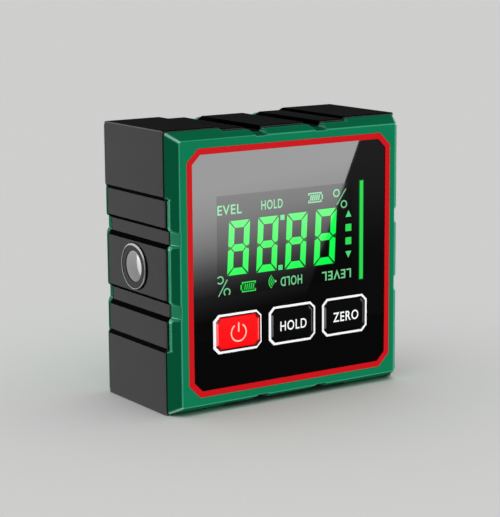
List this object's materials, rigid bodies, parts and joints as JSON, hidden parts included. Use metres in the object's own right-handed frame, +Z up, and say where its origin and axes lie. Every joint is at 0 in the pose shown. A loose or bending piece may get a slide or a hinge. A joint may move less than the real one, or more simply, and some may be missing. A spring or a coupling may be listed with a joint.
{
  "type": "digital angle gauge",
  "caption": "Square digital angle gauge with a stepped band between two covers, a lit display window, push buttons below it, round magnets in its sides and a battery door behind.",
  "frame": {"origin": "centre of the base, at the height of the surface that the gauge stands on", "axes": "+X to the right as seen from the display side, +Y from the display to the back, +Z up"},
  "size_m": [0.061, 0.031, 0.061],
  "materials": {
    "band_plastic": "satin moulded plastic",
    "cover_plastic": "satin moulded plastic",
    "red_plastic": "smooth",
    "white_plastic": "smooth",
    "button_red": "smooth",
    "button_black": "smooth",
    "window_acrylic": "polished, with a dark tint",
    "display_glass": "polished",
    "light_diffuser": "milky white",
    "dark_rubber": "matt",
    "board_green": "green solder mask over glass laminate",
    "chip_plastic": "matt",
    "screw_steel": "zinc plated",
    "contact_steel": "nickel plated",
    "plated_steel": "polished nickel plating",
    "magnet_metal": "satin nickel plating",
    "cell_wrap": "plain film over a steel can"
  },
  "bodies": {
    "case": {"side_band": "band_plastic", "front_bezel": "cover_plastic", "rear_cover": "cover_plastic", "trim_ring": "red_plastic", "front_window": "window_acrylic", "lcd_glass": "display_glass", "lcd_backlight": "light_diffuser", "lcd_connector_strip": "dark_rubber", "power_button_surround": "white_plastic", "hold_button_surround": "white_plastic", "zero_button_surround": "white_plastic", "power_switch_body": "chip_plastic", "hold_switch_body": "chip_plastic", "zero_switch_body": "chip_plastic", "main_board": "board_green", "processor_chip": "chip_plastic", "tilt_sensor": "chip_plastic", "buzzer": "chip_plastic", "rear_screw_upper_left": "screw_steel", "rear_screw_upper_right": "screw_steel", "rear_screw_lower_left": "screw_steel", "rear_screw_lower_right": "screw_steel", "board_screw_upper_left": "screw_steel", "board_screw_upper_right": "screw_steel", "board_screw_lower_left": "screw_steel", "board_screw_lower_right": "screw_steel", "battery_door": "cover_plastic", "battery_door_screw": "screw_steel", "upper_battery": "cell_wrap", "lower_battery": "cell_wrap", "upper_battery_spring": "contact_steel", "lower_battery_spring": "contact_steel", "battery_bridge_plate": "contact_steel", "positive_contact": "contact_steel", "negative_contact": "contact_steel", "left_magnet_cup": "plated_steel", "right_magnet_cup": "plated_steel", "bottom_magnet_cup": "plated_steel", "left_magnet_bush": "band_plastic", "right_magnet_bush": "band_plastic", "bottom_magnet_bush": "band_plastic", "left_magnet": "magnet_metal", "right_magnet": "magnet_metal", "bottom_magnet": "magnet_metal"},
    "power_key": {"power_button": "button_red", "power_switch_plunger": "white_plastic"},
    "hold_key": {"hold_button": "button_black", "hold_switch_plunger": "white_plastic"},
    "zero_key": {"zero_button": "button_black", "zero_switch_plunger": "white_plastic"}
  },
  "joints": [
    {"name": "power_press", "type": "slide", "parent": "case", "child": "power_key", "axis": [0, 1, 0], "range_m": [0, 0.0005], "stiffness_N_per_m": 1600},
    {"name": "hold_press", "type": "slide", "parent": "case", "child": "hold_key", "axis": [0, 1, 0], "range_m": [0, 0.0005], "stiffness_N_per_m": 1600},
    {"name": "zero_press", "type": "slide", "parent": "case", "child": "zero_key", "axis": [0, 1, 0], "range_m": [0, 0.0005], "stiffness_N_per_m": 1600}
  ]
}
